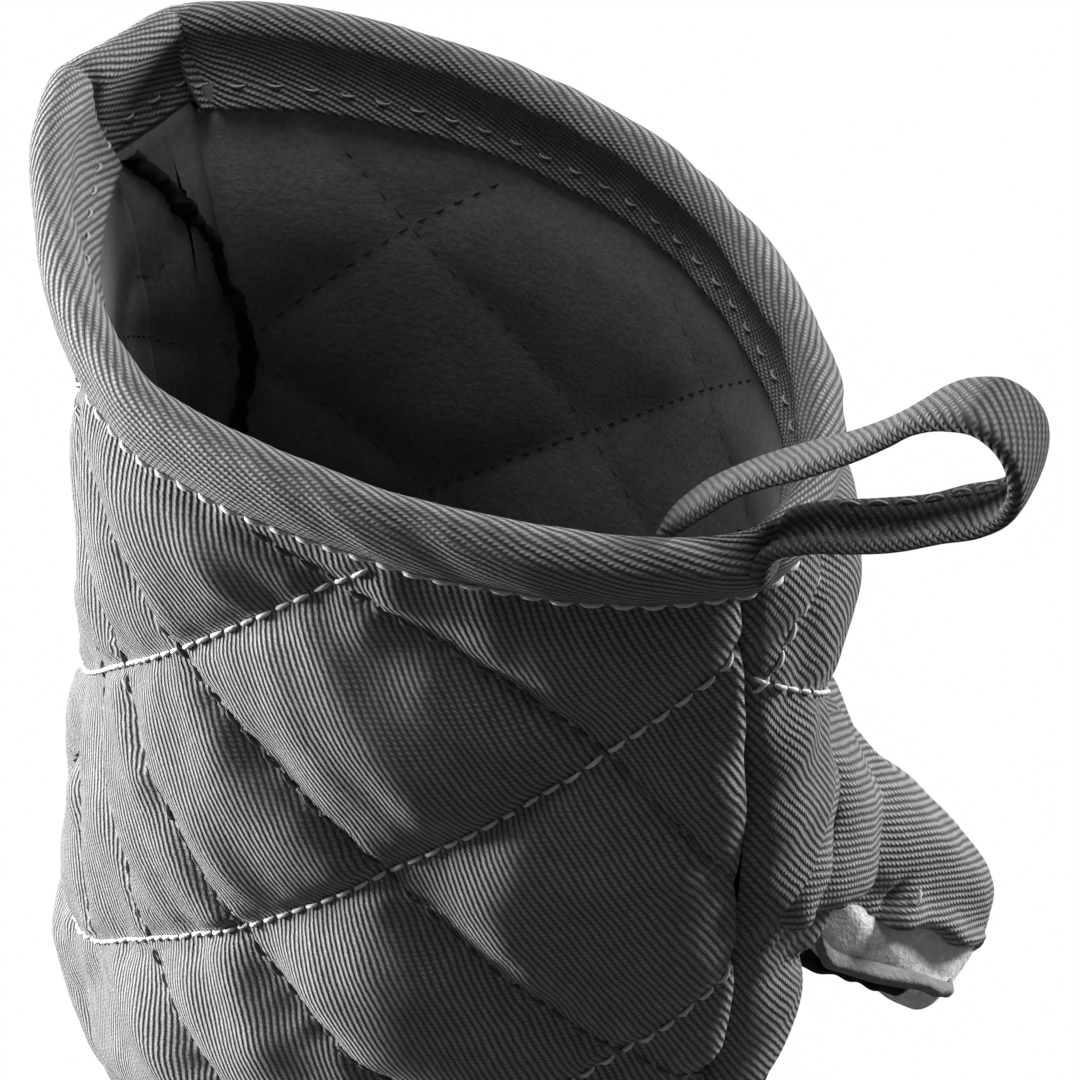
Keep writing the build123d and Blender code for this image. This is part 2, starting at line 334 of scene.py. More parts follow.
class Nodes:
    """Short helper to write the shader nodes of a material or a world."""

    def __init__(self, owner):
        self.owner = owner
        owner.use_nodes = True
        self.tree = owner.node_tree
        self.tree.nodes.clear()

    def add(self, kind, **values):
        node = self.tree.nodes.new(kind)
        for key, value in values.items():
            setattr(node, key, value)
        return node

    def wire(self, source, target):
        self.tree.links.new(source, target)

    def fill(self, node, **values):
        """Sets inputs by name, an underscore for each space, to a value or from another node."""
        for key, value in values.items():
            self.put(node.inputs[key.replace("_", " ")], value)
        return node

    def put(self, socket, value):
        if isinstance(value, bpy.types.NodeSocket):
            self.wire(value, socket)
        else:
            socket.default_value = value

    def join(self, kind, *values, **settings):
        """A node with its first inputs set in order; gives its output."""
        node = self.add(kind, **settings)
        for socket, value in zip(node.inputs, values):
            self.put(socket, value)
        return node.outputs[0]

    def math(self, operation, *values):
        return self.join("ShaderNodeMath", *values, operation=operation)

    def times(self, first, second):
        return self.math("MULTIPLY", first, second)

    def plus(self, first, second):
        return self.math("ADD", first, second)

    def scaled(self, value, by, offset):
        return self.math("MULTIPLY_ADD", value, by, offset)

    def noise(self, place, scale, detail=2.0, rough=0.5):
        node = self.add("ShaderNodeTexNoise")
        return self.fill(node, Vector=place, Scale=scale, Detail=detail, Roughness=rough).outputs["Fac"]

    def place(self):
        return self.add("ShaderNodeTexCoord").outputs["Object"]

    def ramp(self, value, low, high):
        node = self.add("ShaderNodeMapRange", clamp=True)
        return self.fill(node, Value=value, From_Min=low, From_Max=high).outputs[0]

    def lit(self, kind, strength):
        """A white background or glow."""
        return self.fill(self.add(kind), Color=WHITE, Strength=strength).outputs[0]

    def show(self, shader, kind="ShaderNodeOutputMaterial"):
        self.wire(shader, self.add(kind).inputs["Surface"])
        return self.owner

    def cloth(self, value, height, rough, sheen, distance, strength):
        """Finishes a grey cloth from its brightness and its height."""
        shader = self.add("ShaderNodeBsdfPrincipled")
        grey = self.join("ShaderNodeCombineColor", value, value, value)
        self.fill(shader, Base_Color=grey, Roughness=rough, Specular_IOR_Level=CLOTH_SPECULAR,
                  Sheen_Weight=sheen, Sheen_Roughness=SHEEN_ROUGHNESS)
        bump = self.fill(self.add("ShaderNodeBump"), Strength=strength, Distance=distance, Height=height)
        self.wire(bump.outputs[0], shader.inputs["Normal"])
        return self.show(shader.outputs[0])


def twill(name, lean, groove, rib):
    """Cotton twill in millimetres of cloth; lean is the ribs' direction across and down the cloth. Its
    grooves are darker than its ribs in colour: painted shade.
    """
    n = Nodes(bpy.data.materials.new(name))
    split = n.add("ShaderNodeSeparateXYZ")
    n.wire(n.add("ShaderNodeUVMap", uv_map="cloth").outputs[0], split.inputs[0])
    u, v = [n.times(split.outputs[k], 1 / MM) for k in range(2)]
    lean = np.array(lean) / np.hypot(*lean)
    over = n.plus(n.times(u, lean[1]), n.times(v, -lean[0]))
    along = n.plus(n.times(u, lean[0]), n.times(v, lean[1]))
    place = n.join("ShaderNodeCombineXYZ", u, v)
    sway = n.scaled(n.noise(place, 0.16), RIB_SWAY, -RIB_SWAY / 2)
    jitter = n.scaled(n.noise(place, 1.1, 1.0), RIB_JITTER, -RIB_JITTER / 2)
    count = n.math("DIVIDE", n.plus(over, n.plus(sway, jitter)), RIB_PITCH)
    within = n.math("FRACT", count)
    number = n.math("FLOOR", count)
    wave = n.math("COSINE", n.scaled(within, TURN, -math.pi))
    ridge = n.math("POWER", n.scaled(wave, 0.5, 0.5), RIB_ROUND)
    step = n.scaled(number, FLOAT_SHIFT, n.math("DIVIDE", along, FLOAT_PITCH))
    slant = n.scaled(within, FLOAT_SLANT, step)
    floats = n.scaled(n.math("COSINE", n.times(slant, TURN)), FLOAT_DEPTH, 1 - FLOAT_DEPTH)
    yarn = n.noise(n.join("ShaderNodeCombineXYZ", n.times(number, 7.31), n.times(along, 0.42)), 1.0)
    lint = n.noise(place, 5.5, 3.0, 0.7)
    patch = n.noise(place, 0.09, 3.0, 0.55)
    height = n.plus(n.times(ridge, floats), n.times(lint, LINT_HEIGHT))
    height = n.plus(height, n.times(yarn, YARN_HEIGHT))
    tone = n.times(n.scaled(yarn, *YARN_TONE), n.scaled(patch, *PATCH_TONE))
    tone = n.times(tone, n.scaled(lint, *LINT_TONE))
    # Grooves between the ribs and the dips between the yarn floats are darkened in the colour: painted shade
    painted_groove_shade = n.times(n.ramp(ridge, *RIB_PAINTED_SHADE), floats)
    value = n.times(n.scaled(painted_groove_shade, rib - groove, groove), tone)
    return n.cloth(value, height, 0.95, TWILL_SHEEN, TWILL_BUMP, 1.0)


def fleece(name, tone, clump, depth):
    """Matt brushed cloth."""
    n = Nodes(bpy.data.materials.new(name))
    place = n.place()
    nap = n.noise(place, NAP_SCALE, 3.0, 0.65)
    lumps = n.noise(place, clump, 3.0, 0.6)
    height = n.plus(nap, n.times(lumps, 0.8))
    value = n.times(n.scaled(lumps, *PATCH_TONE), tone)
    value = n.times(value, n.scaled(nap, *NAP_TONE))
    return n.cloth(value, height, 1.0, 0.05, depth, 0.7)


def thread_material(name, tone):
    n = Nodes(bpy.data.materials.new(name))
    twist = n.noise(n.place(), TWIST_SCALE, 1.0)
    return n.cloth(n.times(n.scaled(twist, *PATCH_TONE), tone), twist, 0.8, 0.0, 0.0001, 0.5)


panel_twill = twill("panel_twill", (-0.47, 0.88), 0.06, 0.26)
palm_twill = twill("palm_twill", (0.48, 0.88), 0.05, 0.23)
binding_twill = twill("binding_twill", (-0.93, 0.36), 0.05, 0.24)
# The loop's twill is a darker copy of the same cloth: painted shade on the loop's strands
loop_twill_painted_shade = twill("loop_twill_painted_shade", (0.62, 0.78), 0.03, 0.11)
# The thumb's twill is a slightly lighter copy of the cloth: painted light on the thumb and its crotch cloth
thumb_twill_painted_light = twill("thumb_twill_painted_light", (1.0, 0.0), 0.06, 0.27)
# The lining's fleece is set far lighter than its black cloth: painted light inside the cuff
lining_fleece_painted_light = fleece("lining_fleece_painted_light", 0.145, 140.0, 0.0002)
raw_cloth = fleece("raw_cloth", 0.005, 300.0, 0.0005)
# The brushed cloth is a lighter grey, set brighter still: partly its own tone, partly painted light under
# the thumb
brushed_cloth = fleece("brushed_cloth", 0.6, 420.0, 0.0004)
lip_cloth = fleece("lip_cloth", 0.16, 420.0, 0.0004)
pale_thread = thread_material("pale_thread", 0.55)
grey_thread = thread_material("grey_thread", 0.30)
# This dark thread stands in for the shade in the valleys of the back's rising stitch lines: painted shade
thread_painted_shade = thread_material("thread_painted_shade", 0.11)
lining_thread = thread_material("lining_thread", 0.05)


def wander(coefficients, u, v):
    """Departure of a set of stitch lines from straight, fading out over the hidden cloth."""
    x = (u - WANDER_PLACE) / WANDER_PLACE
    y = (v - WANDER_PLACE) / WANDER_PLACE
    terms = (1.0, x, y, x * y, x * x, y * y, x ** 3, x * x * y, x * y * y, y ** 3)
    total = sum(c * t for c, t in zip(coefficients, terms))
    for at, end, fade in zip((u, v), WANDER_END, WANDER_FADE):
        total = total * smooth((end - at) / fade)
    return total


def quilt_count(u, v, side):
    """Which falling and which rising stitch line a place lies on, as running numbers."""
    if side < 0:
        fall = (v - QUILT_SLOPE * u - BACK_FALL) / BACK_PITCH + wander(FALL_WANDER, u, v)
        rise = (v + QUILT_SLOPE * u - BACK_RISE) / BACK_PITCH + wander(RISE_WANDER, u, v)
    else:
        fall = (v - QUILT_SLOPE * u - PALM_FALL) / PALM_PITCH
        rise = (v + QUILT_SLOPE * u - PALM_RISE) / PALM_PITCH
    return fall, rise


def line_distances(u, v, side):
    """Millimetres to the nearest falling and the nearest rising stitch line."""
    pitch = BACK_PITCH if side < 0 else PALM_PITCH
    across = pitch / math.hypot(1.0, QUILT_SLOPE)
    return [np.abs(line - np.round(line)) * across for line in quilt_count(u, v, side)]


def quilt_crown(u, v, side):
    """Height of the padding over the stitch lines, from 0 to 1, at places on a panel."""
    crown = 1.0
    for away in line_distances(u, v, side):
        crown = crown * np.sin(math.pi / 2 * np.clip(away / QUILT_SHOULDER, 0, 1)) ** 0.6
    return crown


def relax(points, rest_points, slack, pinned, target, rounds):
    """Lets slack cloth settle over padding: it keeps its own lengths, is held where it is sewn, and the
    padding pushes it out."""
    rows, columns = points.shape[:2]
    pairs = []
    for down, along, strength in CLOTH_LINKS:
        right = max(along, 0)
        left = max(-along, 0)
        first = (slice(0, rows - down), slice(left, columns - right))
        second = (slice(down, rows), slice(right, columns - left))
        length = np.linalg.norm(rest_points[second] - rest_points[first], axis=-1)
        length = length * (1 + (slack[first] + slack[second]) / 2)
        pairs.append((first, second, length, strength, down + abs(along) > 2))
    outward = points - points.mean(axis=(0, 1)) * np.array([1.0, 0.0, 1.0])
    for _ in range(rounds):
        points = points + grid_normals(points, outward) * PAD_PRESSURE * (1 - pinned)[..., None]
        move = np.zeros_like(points)
        for first, second, length, strength, stiff in pairs:
            gap = points[second] - points[first]
            now = np.linalg.norm(gap, axis=-1)
            error = (now - length) / np.maximum(now, 1e-6)
            if stiff:
                error = np.minimum(error + STIFF_EASE, 0.0)
            shift = gap * (error * strength * RELAX_SHARE)[..., None]
            move[first] += shift
            move[second] -= shift
        points = points + move
        points = points + (target - points) * pinned[..., None]
    return points


# Relief of the panels; each wave is a height and a spacing in two directions
BROAD_DENT = (1.5, 15.0, 19.0)
SMALL_DENT = (0.9, 7.5, 9.0)
GATHER = (1.0, 5.2, 16.0)
GATHER_REACH = 9.0
GATHER_HEIGHT = 0.75
STITCH_PUCKER = (0.3, 2.6, 3.2)
LONG_WRINKLE = (0.8, 8.0, 24.0)
SHORT_WRINKLE = (0.7, 3.6, 13.0)
SEAM_PULL = (0.8, 5.5, 20.0)
RIM_WAVE = (0.7, 4.2, 30.0)
SLACK_WAVE = (0.5, 21.0, 21.0)
SEWN_REACH = 4.5
SEWN_SLACK = 0.02
# The little finger side of the back is drawn flatter: by how much, from where, over what width
DRAWN = (0.4, 75.0, 25.0)
PANEL_RELIEF_TOP = 9.5
TIP_FADE = 26.0
TIP_RELIEF = 0.35
TIP_LIFT = 0.7
FLOOR_STEP = 1.1
FLOOR_SHRINK = 0.12
SEAM_HALF_GAP = 0.05


def build_panel(side):
    """Outer surface of one panel as a grid, rows down from the rim and columns from the thumb seam."""
    drops = np.arange(PANEL_TOP, RIM_HEIGHT, PANEL_STEP)
    shares = np.linspace(0, 1, PANEL_COLUMNS)
    rows = []
    widths = []
    run = list(drops)
    for drop in drops:
        points, length = section(drop, side, 0.0, shares)
        rows.append(np.column_stack([points, np.full(len(shares), RIM_HEIGHT - drop)]))
        widths.append(length)
    last = rows[-1]
    middle = last[:, 0].mean()
    for i in range(1, FLOOR_ROWS + 1):
        t = i / FLOOR_ROWS
        x = middle + (last[:, 0] - middle) * (1 - FLOOR_SHRINK * t * t)
        rows.append(np.column_stack([x, last[:, 1] * (1 - t), last[:, 2] * (1 - t) ** 2]))
        widths.append(widths[-1])
        run.append(run[-1] + FLOOR_STEP)
    base = np.array(rows)
    widths = np.array(widths)
    v = np.array(run)[:, None] * np.ones((1, PANEL_COLUMNS))
    u = shares[None, :] * widths[:, None]
    middle = base.mean(axis=(0, 1))
    outward = base - np.array([middle[0], 0.0, middle[2]])
    normals = grid_normals(base, outward)
    edge = np.minimum(u, widths[:, None] - u)
    crown = quilt_crown(u, v, side)
    rim = smooth((v - PANEL_RELIEF_TOP) / RIM_FADE)
    tip = smooth((RIM_HEIGHT - 4 - v) / TIP_FADE)
    seed = 3 if side < 0 else 11
    # Slack cloth: soft dents over the pads, short puckers where the thread gathers it
    fall_away, rise_away = line_distances(u, v, side)
    away = np.minimum(fall_away, rise_away)
    sewn = bell(away, SEWN_REACH)
    dents = wave(BROAD_DENT, u, v, seed) + wave(SMALL_DENT, u, v, seed + 1)
    along_fall = (u + QUILT_SLOPE * v) / math.hypot(1, QUILT_SLOPE)
    along_rise = (u - QUILT_SLOPE * v) / math.hypot(1, QUILT_SLOPE)
    gather = wave(GATHER, along_fall, fall_away, seed + 2) * bell(fall_away, GATHER_REACH)
    gather = gather + wave(GATHER, along_rise, rise_away, seed + 3) * bell(rise_away, GATHER_REACH)
    pucker = GATHER_HEIGHT * gather * np.clip(away / 2.0, 0, 1)
    pucker = pucker + wave(STITCH_PUCKER, u, v, seed + 5) * sewn
    # Longer wrinkles run across the falling lines and in from the side seams
    wrinkle = wave(LONG_WRINKLE, along_fall, along_rise, seed + 7) * np.sqrt(crown)
    near_fall = np.exp(-fall_away / GATHER_REACH)
    wrinkle = wrinkle + wave(SHORT_WRINKLE, along_fall, along_rise, seed + 8) * crown * near_fall
    pulled = wave(SEAM_PULL, v, u, seed + 9) * bell(edge, 11.0) * np.clip(edge / 4.0, 0, 1)
    pucker = pucker + wrinkle + pulled
    flatter, start, fade = DRAWN
    drawn = 1 - flatter * smooth((u - start) / fade) if side < 0 else 1.0
    rise = crown * rim * (QUILT_HEIGHT + dents) * drawn
    rise = rise * (TIP_RELIEF + (1 - TIP_RELIEF) * tip) + TIP_LIFT * (1 - tip)
    rise = rise + bell(v - 14, 8.0) * wave(RIM_WAVE, u, v, seed + 4)
    roll = np.clip(edge / SEAM_ROLL, 0, 1)
    rise = rise - (wall_thickness(v) - SEAM_LEFT) * (1 - np.sqrt(1 - (1 - roll) ** 2))
    points = base + normals * rise[..., None]
    hole = 0.65 + 0.35 * np.cos(TURN * (u + 0.3 * v) / (STITCH_LENGTH + STITCH_GAP))
    pinned = bell(away, 0.75) * hole * rim
    pinned = np.maximum(pinned, 1.0 - smooth((v - 10.5) / 2.0))
    pinned = np.maximum(pinned, 1.0 - smooth((edge - 1.2) / 1.2))
    pinned = np.maximum(pinned, 1.0 - smooth((RIM_HEIGHT - 2.0 - v) / 3.0))
    slack = CLOTH_SLACK * (1 + wave(SLACK_WAVE, u, v, seed + 6)) * (0.3 + 0.7 * tip)
    slack = slack + SEWN_SLACK * sewn * tip
    points = relax(points, base, slack, pinned, points.copy(), RELAX_ROUNDS)
    points = points + normals * (pucker * rim * tip)[..., None]
    points[:, [0, -1], 1] = side * SEAM_HALF_GAP
    return {"points": points, "u": u, "v": v, "widths": widths, "drops": np.array(run),
            "normals": grid_normals(points, outward), "side": side}


def on_panel(panel, u, v, lift=0.0):
    """Points and normals on a panel's surface."""
    row = np.interp(v, panel["drops"], np.arange(len(panel["drops"])))
    width = np.interp(v, panel["drops"], panel["widths"])
    columns = panel["points"].shape[1]
    column = np.clip(u / width, 0, 1) * (columns - 1)
    i = np.clip(row.astype(int), 0, len(panel["drops"]) - 2)
    j = np.clip(column.astype(int), 0, columns - 2)
    a = (row - i)[:, None]
    b = (column - j)[:, None]
    found = []
    for grid in (panel["points"], panel["normals"]):
        top = grid[i, j] * (1 - b) + grid[i, j + 1] * b
        low = grid[i + 1, j] * (1 - b) + grid[i + 1, j + 1] * b
        found.append(top * (1 - a) + low * a)
    normals = unit(found[1])
    return found[0] + normals * lift, normals


def stitch_tubes(path, normals, length=STITCH_LENGTH, gap=STITCH_GAP, radius=THREAD_RADIUS,
                 rise=STITCH_RISE):
    """Points and faces of the separate stitches along a path."""
    run = run_up(np.linalg.norm(np.diff(path, axis=0), axis=1))
    shares = np.linspace(0, 1, STITCH_RINGS)
    turn = np.linspace(0, TURN, STITCH_SIDES, endpoint=False)[None, :, None]
    arch = np.sin(math.pi * shares) ** 0.6 * rise - STITCH_SUNK
    thick = radius * (0.55 + 0.45 * np.sin(math.pi * shares) ** 0.5)
    points = []
    faces = []
    for k in range(int(run[-1] / (length + gap))):
        at = k * (length + gap) + gap / 2 + shares * length
        middle = np.stack([np.interp(at, run, part) for part in path.T], -1)
        up = unit(np.stack([np.interp(at, run, part) for part in normals.T], -1))
        middle = middle + up * arch[:, None]
        ahead = unit(np.gradient(middle, axis=0))
        aside = unit(np.cross(ahead, up))
        over = np.cross(aside, ahead)
        ring = aside[:, None] * np.cos(turn) + over[:, None] * np.sin(turn)
        tube = middle[:, None] + ring * thick[:, None, None]
        faces.append(grid_faces(STITCH_RINGS, STITCH_SIDES, closed=True) + k * STITCH_RINGS * STITCH_SIDES)
        points.append(tube.reshape(-1, 3))
    return points, faces


def sew(name, paths, material, **sizes):
    """All stitches along several paths as one piece."""
    points = []
    faces = []
    for path, normals in paths:
        start = sum(map(len, points))
        some, quads = stitch_tubes(path, normals, **sizes)
        points += some
        faces += [quad + start for quad in quads]
    return make_mesh(name, np.concatenate(points), np.concatenate(faces), material)


def quilt_paths(panel, rising, skip=None, top=12.0, low=215.0, lift=0.1):
    """Paths of the stitch lines of one direction over a panel."""
    paths = []
    widest = panel["widths"].max()
    u = np.linspace(0.5, widest, LINE_SPOTS)
    v_steps = np.arange(2.0, RIM_HEIGHT, 0.5)
    uu, vv = np.meshgrid(u, v_steps, indexing="ij")
    counted = quilt_count(uu, vv, panel["side"])[1 if rising else 0]
    for k in LINE_NUMBERS:
        v = np.array([np.interp(k, line, v_steps, left=-1.0, right=-1.0) for line in counted])
        width = np.interp(v, panel["drops"], panel["widths"])
        keep = (v > top) & (v < low) & (u < width - LINE_MARGIN) & (u > LINE_MARGIN)
        if skip is not None:
            keep &= ~skip(u, v)
        if keep.sum() < LINE_LEAST:
            continue
        paths.append(on_panel(panel, u[keep], v[keep], lift))
    return paths


def wall_thickness(drop):
    return RIM_WALL + (WALL - RIM_WALL) * smooth((drop - WALL_TOP) / WALL_FADE)


# Panels
back = build_panel(-1.0)
palm = build_panel(1.0)


def panel_piece(name, panel):
    is_palm = panel["side"] > 0
    material = palm_twill if is_palm else panel_twill
    return grid_piece(name, panel["points"], material, pair(panel["u"], panel["v"]), is_palm)


back_quilt = panel_piece("back_quilt", back)
palm_quilt = panel_piece("palm_quilt", palm)


def whole_ring(spots, part):
    """Both halves of a ring, from the thumb seam over the back and round."""
    shares = np.arange(spots // 2) / (spots // 2)
    return np.concatenate([part(-1.0, shares)[0], part(1.0, 1 - shares)[0]])


def ring_at(drop, inset, spots):
    """The wall's section, pulled in by an inset."""
    return whole_ring(spots, lambda side, shares: section(drop, side, inset, shares))


def flatten(ring, corners):
    """The ring with a straight run between the spots nearest to two corners."""
    first, last = [int(np.argmin(np.hypot(*(ring - corner).T))) for corner in corners]
    ring = ring.copy()
    t = np.linspace(0, 1, last - first + 1)[:, None]
    ring[first:last + 1] = corners[0] * (1 - t) + corners[1] * t
    return ring


LINING_COLUMNS = 110
LINING_TOP = 9.5
LINING_STEP = 1.8
LINING_FLOOR = 8.0
LINING_HIDDEN = 1.3
LINING_RELIEF = 1.1
LINING_RELIEF_TOP = 12.0
LINING_RELIEF_FADE = 10.0
LINING_WAVE = (0.35, 13.0, 15.0)
# The last row closes the bag: share of the depth kept, drop, and cloth run
LINING_CLOSE = (0.02, 3.0, 6.0)
# The flat at the little finger end fades out this far below the rim
FLAT_FADE = 75.0


def build_lining(side):
    """Inner cloth of one panel, with the shallow quilting that shows on the inside."""
    drops = np.arange(LINING_TOP, RIM_HEIGHT - LINING_FLOOR, LINING_STEP)
    shares = np.linspace(0, 1, LINING_COLUMNS)
    half = LINING_COLUMNS - 1
    spots = np.arange(LINING_COLUMNS) * (1 if side < 0 else -1) % (2 * half)
    rows = []
    for drop in drops:
        # The top edge lies behind the binding
        behind = LINING_HIDDEN * (1 - smooth((drop - LINING_TOP) / 3.5))
        ring = ring_at(drop, wall_thickness(drop) - behind, 2 * half)
        left_now = ring[half, 0]
        corners = INNER_CORNERS + np.array([left_now - INNER_CORNERS[:, 0].mean() - behind, 0.0])
        flat = 1 - smooth((drop - BINDING_INSIDE) / FLAT_FADE)
        ring = ring * (1 - flat) + flatten(ring, corners + np.array([0.6, 0.0])) * flat
        rows.append(np.column_stack([ring[spots], np.full(LINING_COLUMNS, RIM_HEIGHT - drop)]))
    points = np.array(rows)
    widths = np.array([section(drop, side, wall_thickness(drop), [0.0])[1] for drop in drops])
    u = shares[None] * widths[:, None]
    v = drops[:, None] * np.ones((1, LINING_COLUMNS))
    flat_ways = np.array([1.0, 1.0, 0.0])
    below = smooth((v - LINING_RELIEF_TOP) / LINING_RELIEF_FADE)
    relief = LINING_RELIEF * (quilt_crown(u, v, side) * below) + wave(LINING_WAVE, u, v, 21) * below
    points = points - grid_normals(points, points * flat_ways) * relief[..., None]
    kept, lower, more = LINING_CLOSE
    last = points[-1:] * np.array([1.0, kept, 1.0]) - np.array([0.0, 0.0, lower])
    points = np.concatenate([points, last])
    u, widths = [np.concatenate([part, part[-1:]]) for part in (u, widths)]
    v, drops = [np.concatenate([part, part[-1:] + more]) for part in (v, drops)]
    return {"points": points, "u": u, "v": v, "widths": widths, "drops": drops,
            "normals": -grid_normals(points, points * flat_ways), "side": side}


def lining_piece(name, lining):
    return grid_piece(name, lining["points"], lining_fleece_painted_light, pair(lining["u"], lining["v"]))


back_inner = build_lining(-1.0)
palm_inner = build_lining(1.0)
back_lining = lining_piece("back_lining_cloth", back_inner)
palm_lining = lining_piece("palm_lining_cloth", palm_inner)


def crest_half(side, shares):
    """Middle of the wall along the crest of the rim, on one side."""
    depth = CREST_BACK_DEPTH if side < 0 else CREST_PALM_DEPTH
    power = CREST_BACK_POWER if side < 0 else PALM_POWER
    return half_ring(CREST_HALF_WIDTH, depth, power, side, shares)


def ring_normals(ring):
    ahead = np.roll(ring, -1, 0) - np.roll(ring, 1, 0)
    out = unit(pair(-ahead[:, 1], ahead[:, 0]))
    return out if (out * ring).sum() > 0 else -out


def build_binding():
    """Grid of the strip from its outer edge over the crest to its inner one, the run and depth of its cloth,
    and the way out of the rim."""
    spots = BINDING_SPOTS
    crest = whole_ring(spots, crest_half) + CREST_SHIFT
    crest = flatten(soften_ring(crest, CREST_SOFTENING), CREST_CORNERS)
    out = ring_normals(crest)
    outside = ring_at(BINDING_OUTSIDE, 0.0, spots)
    inside = flatten(ring_at(BINDING_INSIDE, wall_thickness(BINDING_INSIDE), spots), INNER_CORNERS)
    u = run_up(np.linalg.norm(np.roll(crest, -1, 0) - crest, axis=1))[:-1]
    folds = sum(bell(np.hypot(*(crest - corner).T), CORNER_WIDTH) for corner in CREST_CORNERS)
    rows = []
    facing = []

    def put(ring, drop, turned):
        facing.append(turned)
        rows.append(np.column_stack([ring, np.full(spots, RIM_HEIGHT - drop)]))

    # The edges are tucked under; each is a way out and a drop
    edge = ((-1.0, 0.2), (0.2, 0.4), (BINDING_LIP - 0.15, 0.1))
    for away, lower in edge:
        put(outside + out * away, BINDING_OUTSIDE + lower, 1.0)
    shoulder = crest + out * CREST_RADIUS
    neck = crest - out * CREST_RADIUS
    shares = np.linspace(0.06, 0.94, BINDING_ROWS)
    for t in shares:
        swell = BINDING_LIP * (1 - t) + OUTER_SWELL * math.sin(math.pi * t)
        put(outside * (1 - t) + shoulder * t + out * swell, BINDING_OUTSIDE * (1 - t) + CREST_DROP * t, 1.0)
    for turn in np.linspace(0, math.pi, BINDING_ROWS):
        put(crest + out * CREST_RADIUS * math.cos(turn), CREST_DROP - CREST_RADIUS * math.sin(turn),
            math.cos(turn))
    for t in shares:
        swell = -BINDING_LIP * t * t + INNER_SWELL * math.sin(math.pi * t)
        put(neck * (1 - t) + inside * t + out * swell, CREST_DROP * (1 - t) + BINDING_INSIDE * t, -1.0)
    for away, lower in edge[::-1]:
        put(inside - out * away, BINDING_INSIDE + lower, -1.0)
    points = np.array(rows)
    turned = np.array(facing)[:, None]
    v = run_up(np.linalg.norm(np.diff(points, axis=0), axis=2).mean(axis=1))
    v = v[-1] - v
    free = smooth(np.minimum(v, v[::-1]) / 2.5)[:, None]
    # Bias cloth drags a little as it turns over the edge
    drag = 0.24 * noise(u[None] / 4.5 + v[:, None] * 0.22, v[:, None] / 10.0, 31)
    drag = drag + 0.32 * noise(u[None] / 13.0 + v[:, None] * 0.05, v[:, None] / 16.0, 33)
    sideways = drag * free * turned
    sideways = sideways + CORNER_TUCK * folds[None] * np.clip(-turned, 0, 1) * free
    points[..., :2] += out[None] * sideways[..., None]
    points[..., 2] += (drag * 0.7 - CORNER_DIP * folds[None]) * free * (1 - np.abs(turned))
    return points, u, v, out


binding_points, binding_u, binding_v, binding_out = build_binding()
binding_uv = pair(binding_u[None], binding_v[:, None])


def ring_piece(name, points, uv, material):
    """A closed strip; the first column is repeated so that its cloth runs on."""
    points = np.concatenate([points, points[:, :1]], 1)
    seam = uv[:, :1].copy()
    seam[..., 0] = uv[:, -1:, 0] + (uv[:, -1:, 0] - uv[:, -2:-1, 0])
    uv = np.concatenate([uv, seam], 1)
    return grid_piece(name, points, material, uv, flip=True)


cuff_binding = ring_piece("cuff_binding_cloth", binding_points, binding_uv, binding_twill)


def ring_path(row, lift):
    path = binding_points[row]
    normals = np.column_stack([binding_out * lift, np.zeros(len(binding_out))])
    path = np.concatenate([path, path[:1]])
    normals = np.concatenate([normals, normals[:1]])
    return path + normals * 0.12, unit(normals)


binding_stitches = sew("binding_stitches", [ring_path(4, 1.0)], pale_thread)
inner_stitches = sew("binding_inner_stitches", [ring_path(len(binding_points) - 7, -1.0)], grey_thread,
                     length=2.0, gap=2.9, radius=0.2)
back_falling = sew("back_stitches_pale", quilt_paths(back, False), pale_thread)
# The back's rising stitch lines are sewn in dark thread: painted shade in their valleys
back_rising = sew("back_stitches_painted_shade", quilt_paths(back, True), thread_painted_shade, radius=0.26)


def under_thumb(u, v):
    """True where the palm's stitch lines are covered by the thumb."""
    run, top, low = UNDER_THUMB
    return (u < run) & (v > top) & (v < low)


palm_sewing = sew(
    "palm_stitches",
    [path for rising in (False, True) for path in quilt_paths(palm, rising, under_thumb)],
    pale_thread,
)
lining_sewing = sew(
    "lining_stitches",
    [path for lining in (back_inner, palm_inner) for rising in (False, True)
     for path in quilt_paths(lining, rising, top=16.0, low=190.0, lift=-0.05)],
    lining_thread, length=2.2, gap=1.2, radius=0.15, rise=0.22,
)

# Thumb
THUMB_ROOT = np.array([24.8, 28.5, 147.4])
THUMB_HEADING = math.radians(60.0)
THUMB_DIP = math.radians(55.0)
THUMB_SECTIONS = np.array([
    (-40.0, 17.5, 16.5),
    (0.0, 15.6, 15.5),
    (6.0, 13.9, 14.8),
    (12.0, 12.9, 14.4),
    (20.0, 13.2, 14.2),
    (28.0, 14.0, 14.0),
    (36.0, 14.0, 13.2),
    (43.0, 12.6, 11.6),
    (48.0, 9.8, 9.2),
    (51.2, 5.6, 5.6),
    (52.6, 0.4, 0.6),
])
THUMB_ROWS = 84
THUMB_COLUMNS = 120
THUMB_END = 52.6
THUMB_SEARCH = 40.0
THUMB_PROBES = 321
